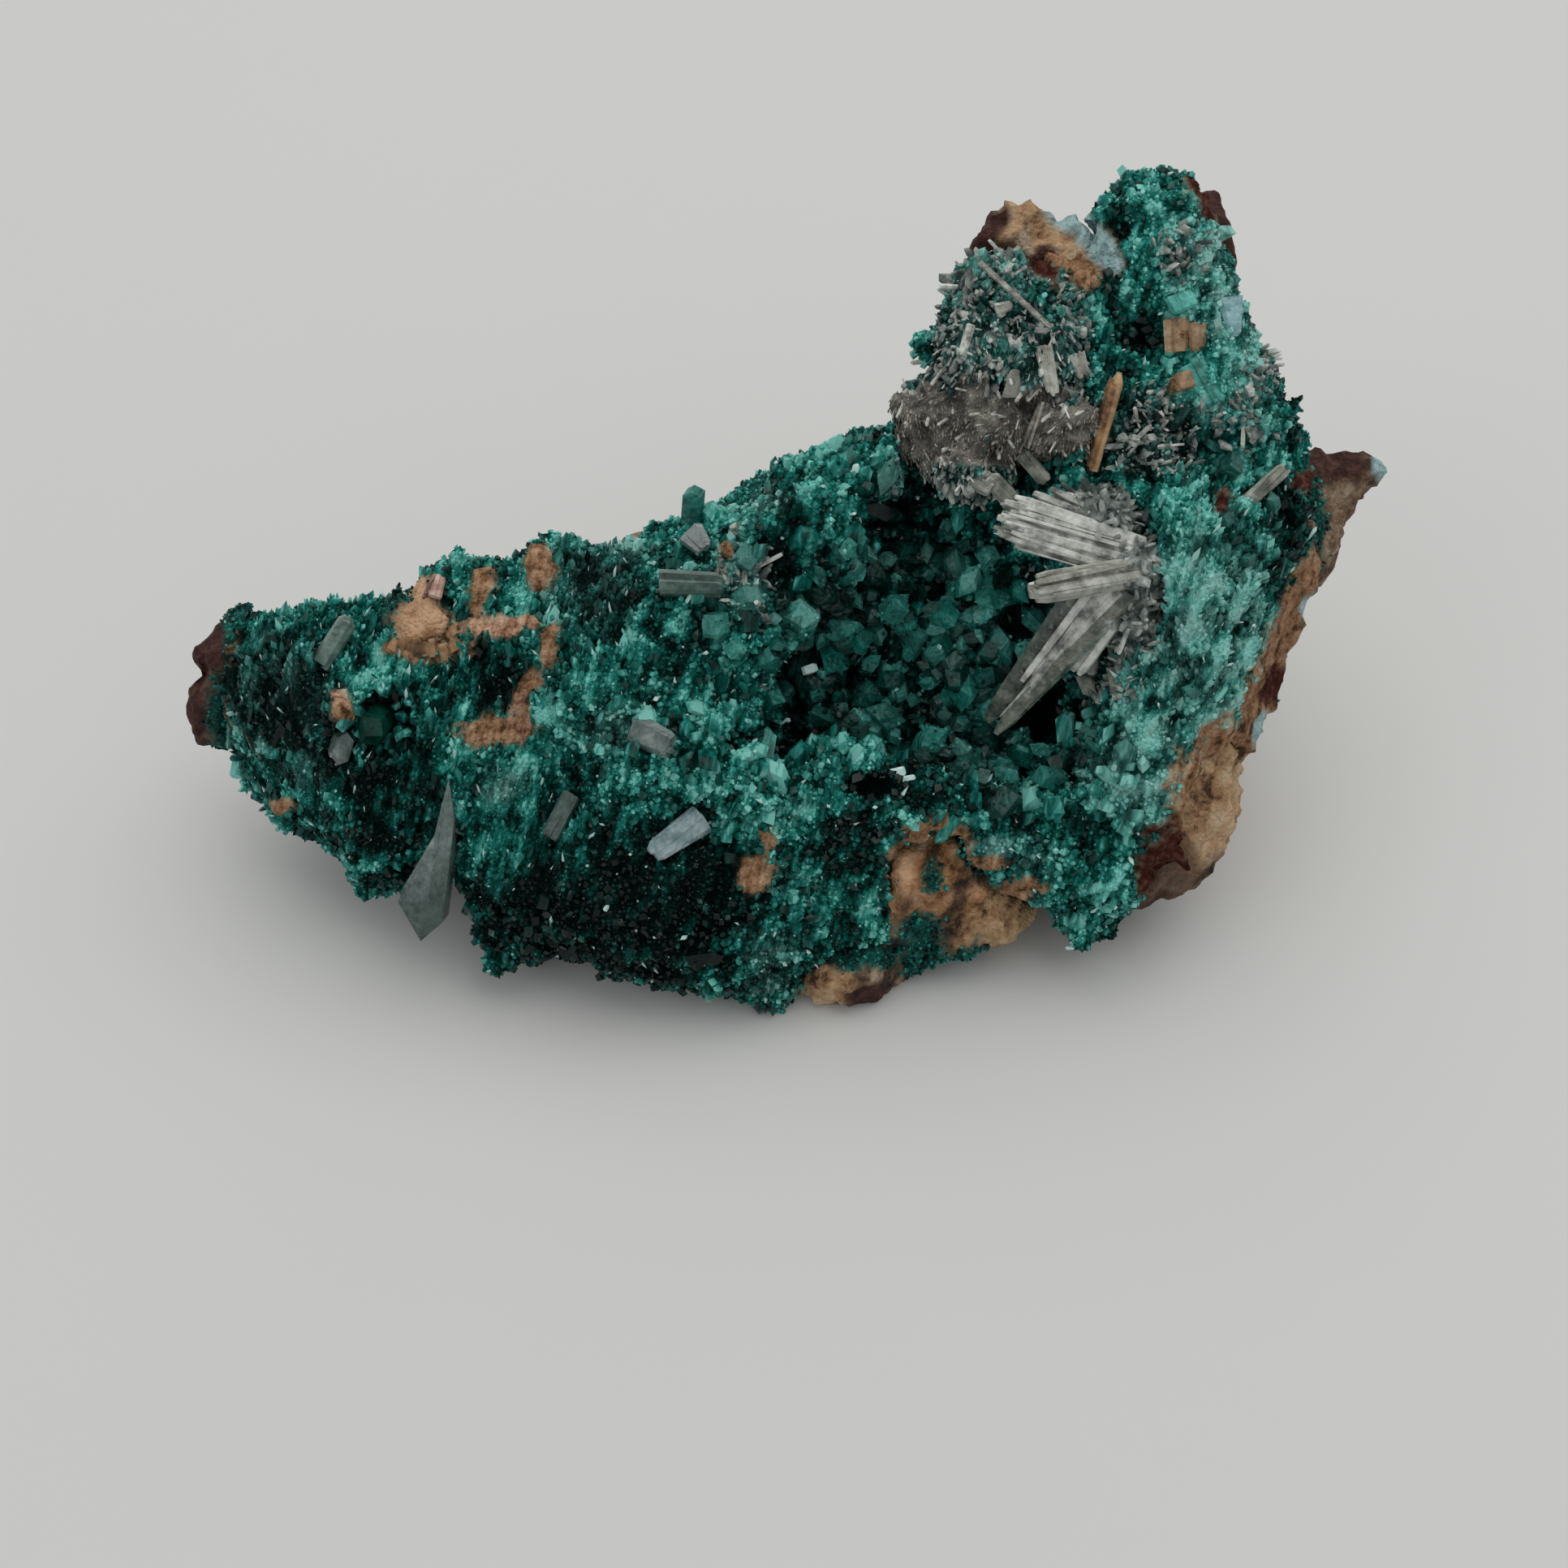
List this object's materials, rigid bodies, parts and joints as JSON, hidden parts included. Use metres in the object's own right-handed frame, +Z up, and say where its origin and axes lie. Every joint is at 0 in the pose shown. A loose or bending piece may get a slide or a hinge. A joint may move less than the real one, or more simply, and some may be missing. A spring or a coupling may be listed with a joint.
{
  "type": "dioptase specimen",
  "caption": "Free-standing dioptase hand piece: brown gossan rock whose leaning face carries a green crystal crust, a crystal-lined hollow and pale blades.",
  "frame": {"origin": "centre of the bounding box's footprint, at the flat that the specimen rests on", "axes": "+X along the length, to the right when the crystal face is looked at; +Y away from the viewer, into the rock; +Z up"},
  "size_m": [0.0798, 0.0414, 0.0404],
  "materials": {
    "gossan": "rough, earthy",
    "dioptase": "sparkling crust of small glassy crystals",
    "dark_dioptase": "glassy, translucent dark green",
    "pale_blades": "silky, striated, slightly translucent",
    "clear_crystal": "glassy, nearly colourless",
    "rust": "dull rust stain"
  },
  "bodies": {
    "root": {"gossan_rock": "gossan", "dioptase_druse": "dioptase", "hollow_crystals": "dark_dioptase", "blade_spray": "pale_blades", "grey_thicket": "pale_blades", "left_wedge": "clear_crystal", "tower_needle": "clear_crystal", "tower_rust_lath": "rust", "right_rod": "clear_crystal", "arm_lath": "clear_crystal", "arm_block": "clear_crystal", "front_tablet": "clear_crystal", "shoulder_tablet": "clear_crystal", "shoulder_lath": "clear_crystal", "front_stub": "clear_crystal", "ledge_lath": "clear_crystal", "hollow_splinter": "clear_crystal", "ridge_crystal": "dark_dioptase", "arm_crystal": "dark_dioptase"}
  },
  "joints": []
}
